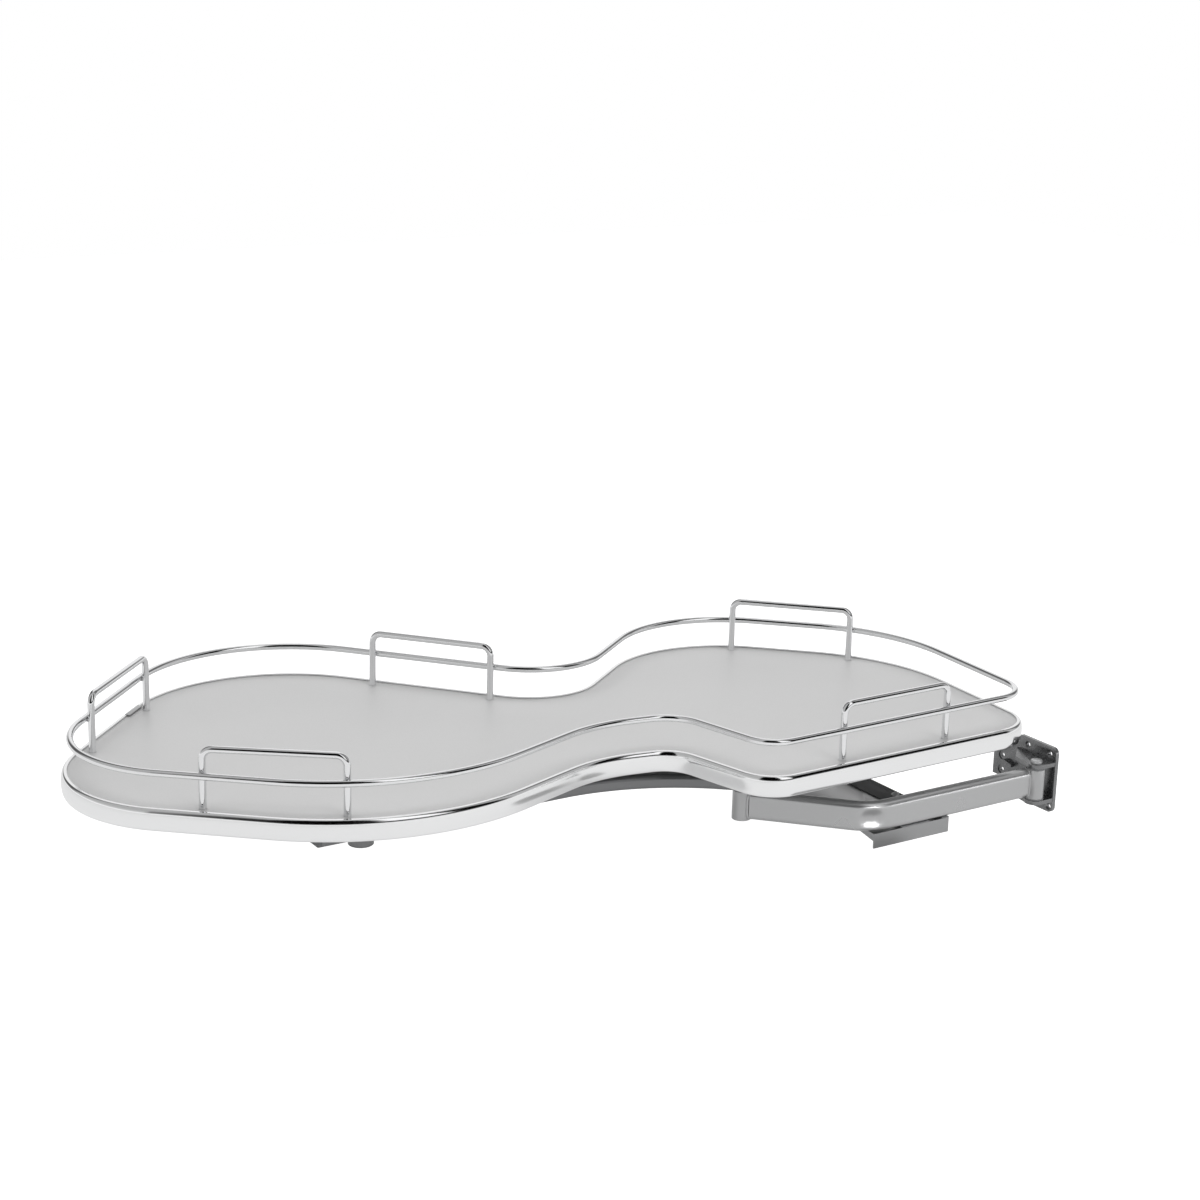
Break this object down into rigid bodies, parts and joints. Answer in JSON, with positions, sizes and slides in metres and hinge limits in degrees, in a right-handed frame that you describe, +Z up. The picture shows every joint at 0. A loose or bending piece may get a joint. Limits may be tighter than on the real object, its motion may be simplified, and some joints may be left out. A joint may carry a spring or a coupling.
{
  "type": "blind corner organizer",
  "caption": "Pull-out tray for a blind corner base cabinet: two-lobed board with a chrome edge and rail, carried by two hinged arms on a wall bracket.",
  "frame": {"origin": "On the wall face of the bracket, straight beside the hinge pin and 33 mm below the plate's top edge.", "axes": "+X points from the tray to the wall that carries the bracket, +Y from the cabinet door into the cabinet, +Z up."},
  "size_m": [0.8913, 0.5245, 0.1464],
  "materials": {
    "painted_casting": "satin silver-grey paint on a casting",
    "painted_tube": "satin silver-grey paint",
    "painted_link": "satin silver-grey paint",
    "pin_steel": "turned and zinc plated",
    "screw_steel": "zinc plated",
    "dark_plastic": "moulded, matt",
    "buffer_rubber": "matt",
    "grey_board": "light grey laminate, matt",
    "chrome_band": "chrome finish",
    "chrome_wire": "polished chrome"
  },
  "bodies": {
    "bracket": {"hinge_bracket": "painted_casting", "hinge_pin": "pin_steel", "hinge_pin_clip": "pin_steel"},
    "swing_arm": {"arm_tube": "painted_tube", "arm_hinge_barrel": "painted_tube", "hinge_bushes": "dark_plastic", "arm_link_barrel": "painted_tube", "link_bushes": "dark_plastic", "arm_barrel_cap": "dark_plastic", "stay_plate": "painted_tube", "stay_spacers": "dark_plastic", "stay_screws": "screw_steel", "buffer_strip": "buffer_rubber", "strip_screws": "screw_steel"},
    "link_arm": {"link_tube": "painted_link", "link_pivot_sleeve": "painted_link", "tray_pivot_boss": "painted_link", "link_pin": "pin_steel", "link_pin_clip": "pin_steel", "tray_bushes": "dark_plastic", "boss_cap": "dark_plastic", "link_end_plugs": "dark_plastic", "glide_pads": "dark_plastic"},
    "tray": {"tray_board": "grey_board", "edge_band": "chrome_band", "band_joiner": "chrome_wire", "guard_rail": "chrome_wire", "loop_left_front": "chrome_wire", "loop_left_back": "chrome_wire", "loop_waist_back": "chrome_wire", "loop_right_back": "chrome_wire", "loop_right_front": "chrome_wire", "loop_screws": "screw_steel", "pivot_plate": "pin_steel", "plate_screws": "screw_steel", "pivot_collar": "pin_steel", "tray_pin": "pin_steel", "tray_pin_clip": "pin_steel"}
  },
  "joints": [
    {"name": "arm_swing", "type": "hinge", "parent": "bracket", "child": "swing_arm", "pos_m": [-0.0195, 0, 0], "axis": [0, 0, 1], "range_deg": [0, 95]},
    {"name": "link_swing", "type": "hinge", "parent": "swing_arm", "child": "link_arm", "pos_m": [-0.3055, 0.0935, 0], "axis": [0, 0, -1], "range_deg": [0, 135]},
    {"name": "tray_turn", "type": "hinge", "parent": "link_arm", "child": "tray", "pos_m": [-0.673, 0.16, 0.02], "axis": [0, 0, -1], "range_deg": [0, 75]}
  ]
}
